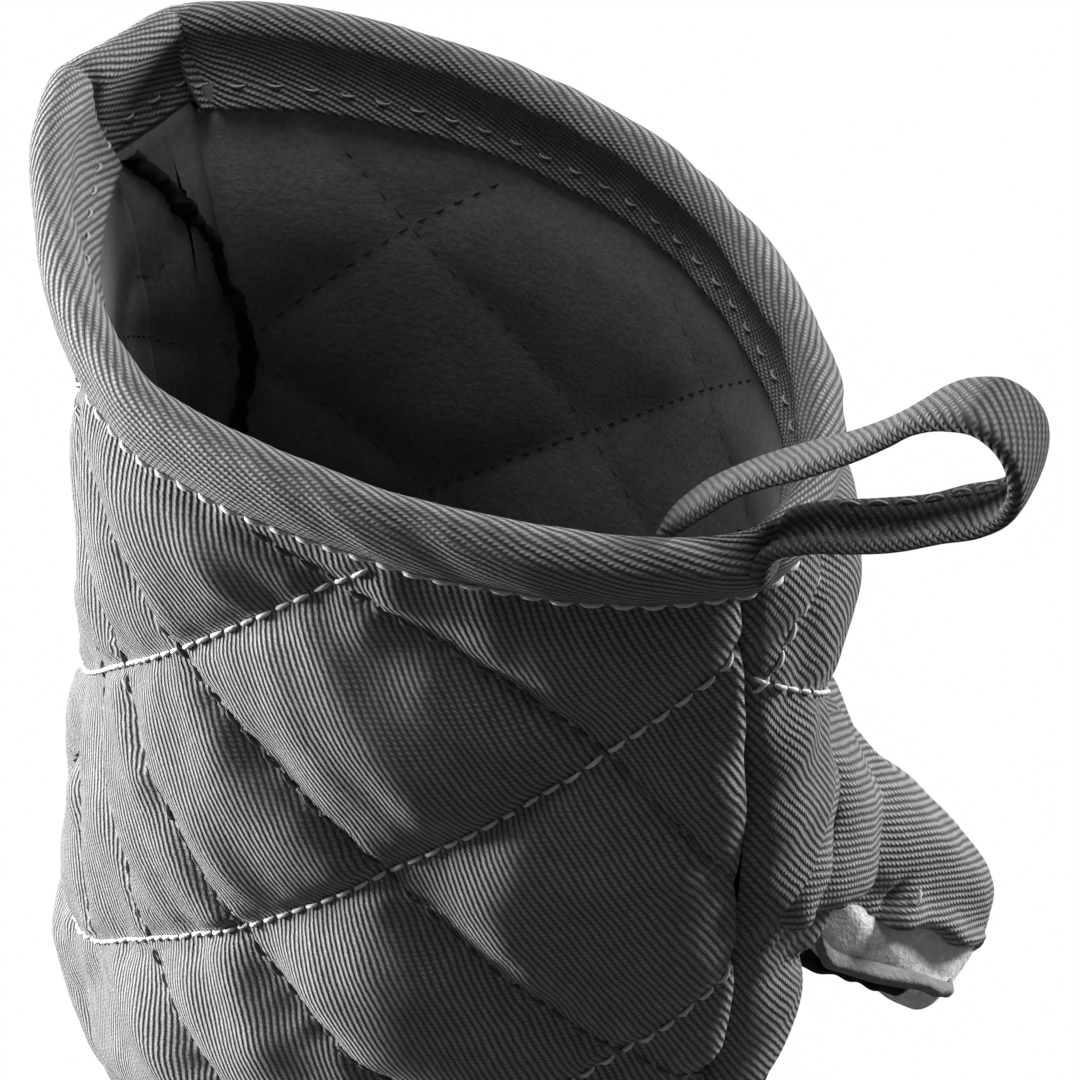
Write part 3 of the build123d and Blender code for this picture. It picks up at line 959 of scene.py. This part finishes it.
# The thumb's ribs run round it, away from the back of the hand and down
RIB_ALONG = np.array([0.04, 0.89, -0.41])
RIB_ACROSS = np.array([0.42, -0.38, -0.79])
THUMB_ARC = 15.0
THUMB_SUNK = 1.0
GRIP_UNDERLAP = 0.28
GRIP_REACH = 1.25
GRIP_STEPS = ((0.8, 10.0, 30.0), (0.35, 41.0, 9.0))
thumb_shares = np.linspace(0, 1, THUMB_COLUMNS)
thumb_axis = heading(THUMB_HEADING, THUMB_DIP)
thumb_side = np.array([-math.sin(THUMB_HEADING), math.cos(THUMB_HEADING), 0.0])
thumb_up = np.cross(thumb_axis, thumb_side)
if thumb_up[2] < 0:
    thumb_up = -thumb_up
UNDERSIDE = 1.5 * math.pi
UNDERSIDE_FLAT = 0.38
THUMB_RIDGE = 1.6
# The thumb is drawn out towards the side seam at the crotch below it
FLARE = 7.0
FLARE_TURN = 1.2 * math.pi
FLARE_SPREAD = 0.5
FLARE_ALONG = 9.0
FLARE_LENGTH = 15.0


def thumb_surface(along, turn, lift):
    """Points of the thumb at a run along it and a turn round it, lifted off its plain form."""
    aside = np.abs(np.mod(turn - FLARE_TURN + math.pi, TURN) - math.pi)
    flare = FLARE * np.exp(-((along - FLARE_ALONG) / FLARE_LENGTH) ** 2 - (aside / FLARE_SPREAD) ** 2)
    high = station(THUMB_SECTIONS, 1, along)
    high = high * (1 - UNDERSIDE_FLAT * np.clip(-np.sin(turn), 0, 1)) + lift + flare
    wide = station(THUMB_SECTIONS, 2, along) + lift + flare
    # The upper half is drawn to a soft ridge, the lower half is round
    sharp = 1 + (2 / THUMB_RIDGE - 1) * smooth(np.sin(turn) / 0.25)
    over = high * signed_power(np.sin(turn), sharp)
    across = wide * signed_power(np.cos(turn), sharp)
    return (THUMB_ROOT + along[..., None] * thumb_axis
            + over[..., None] * thumb_up + across[..., None] * thumb_side)


def inside_palm(points, inset):
    """True for points that lie within the palm's outer surface, drawn in by an inset."""
    left, right, _, palm_depth, _ = level(RIM_HEIGHT - points[..., 2])
    x = np.abs(points[..., 0] - (left + right) / 2) / ((right - left) / 2 - inset)
    y = np.abs(points[..., 1]) / (palm_depth - inset)
    return (x ** PALM_POWER + y ** PALM_POWER < 1) | (points[..., 1] < 0)


def thumb_start(turns, inset):
    """How far along the thumb it leaves the palm, for each turn round it."""
    along = np.linspace(-THUMB_SEARCH, THUMB_SEARCH, THUMB_PROBES)
    grid = thumb_surface(*np.meshgrid(along, turns, indexing="ij"), 0.0)
    hidden = inside_palm(grid, inset)
    last = THUMB_PROBES - 1 - np.argmax(hidden[::-1], axis=0)
    last = np.where(hidden.any(axis=0), last, 0)
    return soften_ring(along[last], 4)


def grip_reach(along):
    """Half turn of the brushed cloth to either side of the thumb's underside."""
    reach = GRIP_REACH
    for more, start, fade in GRIP_STEPS:
        reach = reach + more * smooth((along - start) / fade)
    return reach


def thumb_patch(lower):
    """Grid of run and turn over the upper cloth of the thumb, or over the lower one."""
    rows = np.linspace(0, 1, THUMB_ROWS)[:, None] ** 0.85
    probe = np.linspace(0, TURN, 181)
    starts = thumb_start(probe, THUMB_SUNK)
    along = rows * np.ones((1, THUMB_COLUMNS))
    for _ in range(3):
        reach = grip_reach(along) + (GRIP_UNDERLAP if lower else 0.0)
        span = 2 * reach if lower else TURN - 2 * reach
        begin = UNDERSIDE - reach if lower else UNDERSIDE + reach
        turn = begin + span * thumb_shares[None]
        start = np.interp(np.mod(turn, TURN), probe, starts)
        along = start + (THUMB_END - start) * rows
    return along, turn


def thumb_cloth(points):
    """Places on the thumb's cloth, along its ribs and across them."""
    return pair(points @ RIB_ALONG, points @ RIB_ACROSS)


DART_ALONG = 26.5
DART_TURN = 0.86 * math.pi
DART_SPREAD = 0.22
THUMB_EASE = 7.0
HEM_HEIGHT = 1.4
FOLD_HEIGHT = 1.7
CREASE_DEPTH = 1.5
TUCK_DEPTH = 2.6
CLOTH_STEP = 0.3
TOP_WAVES = ((0.9, 9.0, 13.0), (0.45, 4.0, 6.0))
top_along, top_turn = thumb_patch(False)
top_arc = top_turn * THUMB_ARC
edge_away = np.minimum(thumb_shares, 1 - thumb_shares)[None] * 60.0
top_lift = wave(TOP_WAVES[0], top_arc, top_along, 41) + wave(TOP_WAVES[1], top_arc, top_along, 42)
hem = bell(edge_away - 4.0, 3.0) * smooth((top_along - 20.0) / 12.0)
tuck = bell(edge_away, 1.3)
# A dart takes up the slack at the side: a sharp crease with a soft fold beside it
dart_turn = bell(top_turn - TURN - DART_TURN, DART_SPREAD)
crease = bell(top_along - DART_ALONG, 0.9) * dart_turn
fold = bell(top_along - DART_ALONG - 3.2, 2.2) * dart_turn
ease = smooth((THUMB_END - top_along) / THUMB_EASE)
top_lift = top_lift + HEM_HEIGHT * hem + FOLD_HEIGHT * fold - CREASE_DEPTH * crease - TUCK_DEPTH * tuck
top_lift = top_lift * ease + CLOTH_STEP
thumb_points = thumb_surface(top_along, top_turn, top_lift)
thumb_pad = grid_piece("thumb_quilt", thumb_points, thumb_twill_painted_light, thumb_cloth(thumb_points))

SHELF = 3.6
SHELF_TURN = 1.07 * math.pi
SHELF_SPREAD = 0.42
LOW_WAVES = ((0.7, 8.0, 9.0), (0.3, 3.0, 3.5))
low_along, low_turn = thumb_patch(True)
low_arc = low_turn * THUMB_ARC
low_lift = wave(LOW_WAVES[0], low_arc, low_along, 51) + wave(LOW_WAVES[1], low_arc, low_along, 52)
# The brushed cloth stands out below the hem as a soft shelf
shelf = SHELF * bell(low_turn - SHELF_TURN, SHELF_SPREAD) * smooth((low_along - 16.0) / 10.0)
low_lift = (low_lift - 0.5 + shelf) * smooth((THUMB_END - low_along) / THUMB_EASE) - CLOTH_STEP
grip_points = thumb_surface(low_along, low_turn, low_lift)
thumb_grip = grid_piece("thumb_grip_cloth", grip_points, brushed_cloth, pair(low_arc, low_along))

# Raw lip where the brushed cloth is sewn to the layers under it
LIP_POINTS = 60
LIP_HEIGHT = 2.6
LIP_SQUARE = 0.6


def lip_strip(name, turns, alongs, base, thick, material, seed):
    """A thick cut edge that stands off the thumb along a slanting line."""
    t = np.linspace(0, 1, LIP_POINTS)
    along = alongs[0] + (alongs[1] - alongs[0]) * t
    first, last = [half_turns * math.pi for half_turns in turns]
    turn = first + (last - first) * smooth(t)
    ends = smooth(np.minimum(t, 1 - t) / 0.16)
    foot = thumb_surface(along, turn, base * ends - 1.0)
    head = thumb_surface(along, turn, base * ends + 4.0)
    out = unit(head - foot)
    ahead = unit(np.gradient(foot, axis=0))
    aside = np.cross(out, ahead)
    tall = (LIP_HEIGHT + 0.6 * noise(t * 12, t * 0 + 0.5, seed)) * (0.25 + 0.75 * ends)
    ring = np.linspace(0, TURN, 20)
    across = thick / 2 * signed_power(np.cos(ring), LIP_SQUARE)
    rise = 0.5 + 0.5 * signed_power(np.sin(ring), LIP_SQUARE)
    bend = 0.5 * noise(t * 7, t * 0 + 2.5, seed + 1)
    points = (foot[:, None] + out[:, None] * (tall[:, None] * rise[None])[..., None]
              + aside[:, None] * (across[None] + bend[:, None])[..., None])
    return grid_piece(name, points, material, pair((t * 40)[:, None], ring[None]))


thumb_lip = lip_strip("thumb_grip_lip", (1.1, 0.93), (20.0, 49.0), 3.0, 1.9, lip_cloth, 61)
thumb_raw = lip_strip("thumb_raw_layers", (1.16, 1.04), (18.0, 43.0), 2.0, 2.4, raw_cloth, 65)
# A short row of stitches holds the dart
DART_SPOTS = 24
dart_t = np.linspace(0, 1, DART_SPOTS)
dart_along = DART_ALONG + 1.8 + 3.0 * dart_t
dart_round = (0.78 + 0.11 * dart_t) * math.pi
dart_path = thumb_surface(dart_along, dart_round, np.full(DART_SPOTS, 1.7))
dart_over = thumb_surface(dart_along, dart_round, np.full(DART_SPOTS, 6.0))
thumb_sewing = sew("thumb_stitches", [(dart_path, unit(dart_over - dart_path))], pale_thread, radius=0.22)

# Cloth of the thumb drawn over the palm to the side seam, above the crotch: run from the seam, and its upper
# and lower edge as depths below the rim
CROTCH_EDGE = np.array([
    (2.2, 60.5, 63.5), (4.5, 58.5, 65.5), (9.0, 54.0, 69.0), (15.0, 48.5, 73.0), (24.0, 45.5, 80.0),
    (34.0, 49.0, 88.0), (46.0, 60.0, 95.0),
])
CROTCH_LIFT = 3.4
CROTCH_SUNK = 0.9
CROTCH_WAVE = (0.5, 5.0, 4.0)
CROTCH_ROWS = 40
CROTCH_COLUMNS = 90


def crotch_cloth():
    t, share = np.meshgrid(np.linspace(0, 1, CROTCH_ROWS), np.linspace(0, 1, CROTCH_COLUMNS), indexing="ij")
    u = CROTCH_EDGE[0, 0] + share * (CROTCH_EDGE[-1, 0] - CROTCH_EDGE[0, 0])
    top = station(CROTCH_EDGE, 1, u)
    low = station(CROTCH_EDGE, 2, u)
    v = top + (low - top) * t
    rise = smooth(t / 0.8) * np.sqrt(smooth((1 - t) / 0.16)) * smooth(share / 0.11)
    rise = rise * (1 + 0.9 * smooth((share - 0.2) / 0.5)) * smooth((1 - share) / 0.2)
    lift = CROTCH_LIFT * rise - CROTCH_SUNK + wave(CROTCH_WAVE, u, v, 91) * rise
    spots, normals = on_panel(palm, u.ravel(), v.ravel())
    points = (spots + normals * lift.ravel()[:, None]).reshape(u.shape + (3,))
    return grid_piece("thumb_crotch_cloth", points, thumb_twill_painted_light, thumb_cloth(points), flip=True)


thumb_crotch = crotch_cloth()

# Hanging loop: a folded strip that rises from inside the cuff, bends over and is caught under the binding
LOOP_ROOT = np.array([65.0, -1.0, 225.0])
LOOP_HEADING = math.radians(28.0)
LOOP_WIDTH = 9.5
LOOP_THICK = 2.3
LOOP_POINTS = 190
LOOP_BEND = 56.0
LOOP_WAVE = 0.3
LOOP_SPREAD = (0.86, 0.32, 17.0)
# A spot on the top strand, and the spots of the sewn part
LOOP_TOP = 60
LOOP_SEWN = slice(112, 176)
loop_along = heading(LOOP_HEADING)
loop_across = np.array([-math.sin(LOOP_HEADING), math.cos(LOOP_HEADING), 0.0])
# Middle of the strip from inside the cuff to the binding: reach from the rim, height over it and tilt
LOOP_PATH = np.array([
    (-12.0, -6.0, 0), (-10.0, -1.2, 4), (-3.9, 5.4, 10), (2.4, 10.3, 13), (7.8, 13.8, 14), (11.6, 16.6, 14),
    (15.4, 20.0, 13), (18.3, 22.8, 12), (22.0, 24.8, 10), (25.0, 25.3, 8), (27.6, 24.0, 6), (29.3, 21.6, 4),
    (29.8, 18.5, 3), (28.8, 15.2, 2), (26.0, 12.0, 0), (22.0, 9.6, 0), (17.8, 7.0, 0), (12.0, 4.6, 0),
    (6.0, 2.4, 0), (2.2, -0.2, 0), (1.0, -4.0, 0),
])


def loop_strip():
    """Middle line, width direction and outward direction of the loop, and the run along it."""
    knots = run_up(np.hypot(np.diff(LOOP_PATH[:, 0]), np.diff(LOOP_PATH[:, 1])))
    run = np.linspace(0, knots[-1], LOOP_POINTS)
    reach, height, tilt = [spline(knots, LOOP_PATH[:, k], run) for k in range(3)]
    middle = LOOP_ROOT + reach[:, None] * loop_along + height[:, None] * np.array([0.0, 0.0, 1.0])
    ahead = unit(np.gradient(middle, axis=0))
    out = unit(np.cross(ahead, np.broadcast_to(loop_across, ahead.shape)))
    lean = np.radians(tilt)[:, None]
    # The edge away from the palm lies higher on the top strand
    across = loop_across * np.cos(lean) + out * np.sin(lean) * np.sign(out[LOOP_TOP, 2]) * -1.0
    out = unit(np.cross(ahead, across))
    if out[LOOP_TOP, 2] < 0:
        out = -out
    return middle, across, out, run


loop_middle, loop_wide, loop_out, loop_run = loop_strip()


def loop_mesh():
    turn = np.linspace(0, TURN, 45)
    wide = LOOP_WIDTH / 2 * signed_power(np.cos(turn), 0.5)
    thick = LOOP_THICK / 2 * signed_power(np.sin(turn), 0.6)
    # Folded edges stand a little thicker than the middle
    thick = thick * (0.82 + 0.3 * np.abs(wide / LOOP_WIDTH * 2) ** 3)
    sway = LOOP_WAVE * noise(loop_run[:, None] / 7.0 + 0.13 * wide[None], wide[None] / 5.0, 71)
    cup = 0.5 * (np.abs(wide / LOOP_WIDTH * 2) ** 2 - 0.4)
    # The strip spreads at the bend and is drawn together where it is sewn in
    least, more, reach = LOOP_SPREAD
    spread = least + more * bell(loop_run - LOOP_BEND, reach)
    points = (loop_middle[:, None] + (wide[None] * spread[:, None])[..., None] * loop_wide[:, None]
              + (thick[None] + sway - cup[None])[..., None] * loop_out[:, None])
    girth = run_up(np.hypot(np.diff(wide), np.diff(thick)))
    return grid_piece("hanging_loop_strip", points, loop_twill_painted_shade, pair(loop_run[:, None], girth[None]))


hanging_loop = loop_mesh()
LOOP_HEM = 2.8
hem_row = loop_middle + loop_wide * LOOP_HEM - loop_out * LOOP_THICK * 0.55
loop_sewing = sew("loop_stitches", [(hem_row[LOOP_SEWN], -loop_out[LOOP_SEWN])], grey_thread, radius=0.2)

# Raw edge of the seam allowance inside the cuff: depth below the rim, and run from the seam towards the palm
RAW_EDGE = np.array([
    (14.0, -6.5), (22.0, -1.5), (33.0, 3.7), (48.0, 7.7), (62.0, 6.0), (100.0, 4.0), (150.0, 2.5),
])
RAW_POINTS = 420
RAW_WIDTH = 2.3
RAW_THICK = 0.7


def raw_edge_piece():
    v = np.linspace(RAW_EDGE[0, 0], RAW_EDGE[-1, 0], RAW_POINTS)
    run = station(RAW_EDGE, 1, v) + 0.35 * noise(v / 5.0, v * 0, 82)
    ring = np.linspace(0, TURN, 19)
    fray = 1 + 0.3 * noise(v / 2.4, v * 0, 81) + 0.3 * noise(v / 0.8, v * 0, 84)
    over = RAW_WIDTH / 2 * np.cos(ring)[None] * fray[:, None] + 0.15 * noise(v / 1.1, v * 0, 85)[:, None]
    thick = RAW_THICK * (np.sin(ring)[None] * (1 + 0.5 * noise(v / 0.8, v * 0, 83))[:, None] + 0.4)
    away = run[:, None] + over
    deep = np.broadcast_to(v[:, None], away.shape)
    points = np.zeros(away.shape + (3,))
    for lining, here in ((back_inner, away < 0), (palm_inner, away >= 0)):
        width = np.interp(deep[here], lining["drops"], lining["widths"])
        spot, normal = on_panel(lining, width - np.abs(away[here]), deep[here])
        points[here] = spot + normal * thick[here][:, None]
    return grid_piece("seam_raw_edge", points, raw_cloth, pair(v[:, None], ring[None]))


seam_flap = raw_edge_piece()

# Pieces of the hand, the thumb and the loop; the CAD parts they stand for are hidden, and the hand's pieces
# go with the hand
hand_pieces = [
    back_quilt, palm_quilt, back_lining, palm_lining, cuff_binding, binding_stitches, inner_stitches,
    back_rising, back_falling, palm_sewing, lining_sewing, seam_flap, thumb_crotch,
]
thumb_pieces = [thumb_pad, thumb_grip, thumb_lip, thumb_raw, thumb_sewing]
loop_pieces = [hanging_loop, loop_sewing]
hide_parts("back_shell", "back_batting")
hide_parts("palm_shell", "palm_batting")
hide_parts("back_lining")
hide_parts("palm_lining")
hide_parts("cuff_binding")
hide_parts("thumb_shell", "thumb_batting_back", "thumb_lining_back")
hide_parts("thumb_grip", "thumb_batting_grip", "thumb_lining_grip")
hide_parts("hanging_loop")
for piece in hand_pieces:
    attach(piece, "hand")
# The thumb's and the loop's pieces have their placing baked into their meshes
for piece in thumb_pieces:
    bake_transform(piece)
for piece in loop_pieces:
    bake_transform(piece)



def stand(name, data, axes, spot):
    """Puts a camera or a lamp into the scene, with its own x, y and z axes."""
    thing = bpy.data.objects.new(name, data)
    matrix = np.eye(4)
    matrix[:3, :3] = np.stack(axes, -1)
    matrix[:3, 3] = spot
    thing.matrix_world = Matrix(matrix.tolist())
    bpy.context.scene.collection.objects.link(thing)
    return thing


# Camera
right = heading(CAMERA_TURN)
ahead = np.array([
    -math.sin(CAMERA_TURN) * math.cos(CAMERA_DIP),
    math.cos(CAMERA_TURN) * math.cos(CAMERA_DIP),
    -math.sin(CAMERA_DIP),
])
upward = np.cross(right, ahead)
camera_x = math.cos(CAMERA_ROLL) * right + math.sin(CAMERA_ROLL) * upward
camera_y = -math.sin(CAMERA_ROLL) * right + math.cos(CAMERA_ROLL) * upward
rim_middle = np.array([0.0, 0.0, RIM_HEIGHT])
camera_spot = rim_middle + CAMERA_RIGHT * camera_x - CAMERA_DOWN * camera_y - CAMERA_DISTANCE * ahead
lens = bpy.data.cameras.new("camera")
lens.sensor_width = CAMERA_SENSOR
lens.lens = CAMERA_LENS
bpy.context.scene.camera = stand("camera", lens, (camera_x, camera_y, -ahead), camera_spot * MM)

# Light: a low window at the little finger side, a weak one behind the thumb and one overhead
LOOK_AT = np.array([0.0, 0.0, 160.0])


def window(name, azimuth, elevation, distance, wide, tall, power):
    data = bpy.data.lights.new(name, "AREA")
    data.shape = "RECTANGLE"
    data.size = wide
    data.size_y = tall
    data.energy = power
    towards = heading(math.radians(azimuth), -math.radians(elevation))
    across = unit(np.cross([0.0, 0.0, 1.0], towards))
    stand(name, data, (across, np.cross(towards, across), towards), LOOK_AT * MM + towards * distance)


window("key_window", 211.0, -1.5, 1.2, 0.45, 0.2, 72.0)
window("back_window", 80.0, 18.0, 1.2, 0.35, 0.3, 28.0)
window("top_window", 188.0, 80.0, 1.3, 0.7, 0.7, 17.0)

# World: white to the camera, dim to the cloth
WORLD_LEVEL = 0.12
world = bpy.data.worlds.new("studio")
bpy.context.scene.world = world
sky = Nodes(world)
rays = sky.add("ShaderNodeLightPath").outputs
seen = sky.math("MAXIMUM", rays["Is Camera Ray"], rays["Is Transmission Ray"])
dim, white = [sky.lit("ShaderNodeBackground", strength) for strength in (WORLD_LEVEL, 1.0)]
sky.show(sky.join("ShaderNodeMixShader", seen, dim, white), "ShaderNodeOutputWorld")

# Floor: white to the camera, with a share of the real shading left for the shadow; near the object the glow
# share drops, a painted contact shadow round the base
FLOOR_HALF = 3.0
FLOOR_SHADE = (0.04, 0.095)
FLOOR_GLOW = 0.985
FLOOR_CONTACT_SHADOW_GLOW = 0.8
FLOOR_GREY = (0.12, 0.12, 0.12, 1)
FLOOR_STRENGTH = 1.01
FLOOR_DROP = -0.2
look = Nodes(bpy.data.materials.new("floor"))
diffuse = look.fill(look.add("ShaderNodeBsdfDiffuse"), Color=FLOOR_GREY).outputs[0]
away = look.add("ShaderNodeVectorMath", operation="LENGTH")
look.wire(look.place(), away.inputs[0])
far = look.ramp(away.outputs["Value"], *FLOOR_SHADE)
# The glow falls towards the object: painted contact shadow
glow = look.scaled(far, FLOOR_GLOW - FLOOR_CONTACT_SHADOW_GLOW, FLOOR_CONTACT_SHADOW_GLOW)
share = look.times(look.add("ShaderNodeLightPath").outputs["Is Camera Ray"], glow)
floor_mix = look.join("ShaderNodeMixShader", share, diffuse, look.lit("ShaderNodeEmission", FLOOR_STRENGTH))
half = FLOOR_HALF / MM
corners = [(x * half, y * half, FLOOR_DROP) for x, y in ((-1, -1), (1, -1), (1, 1), (-1, 1))]
floor = make_mesh("floor", corners, [(0, 1, 2, 3)], look.show(floor_mix))

bpy.context.scene.view_settings.view_transform = "Standard"
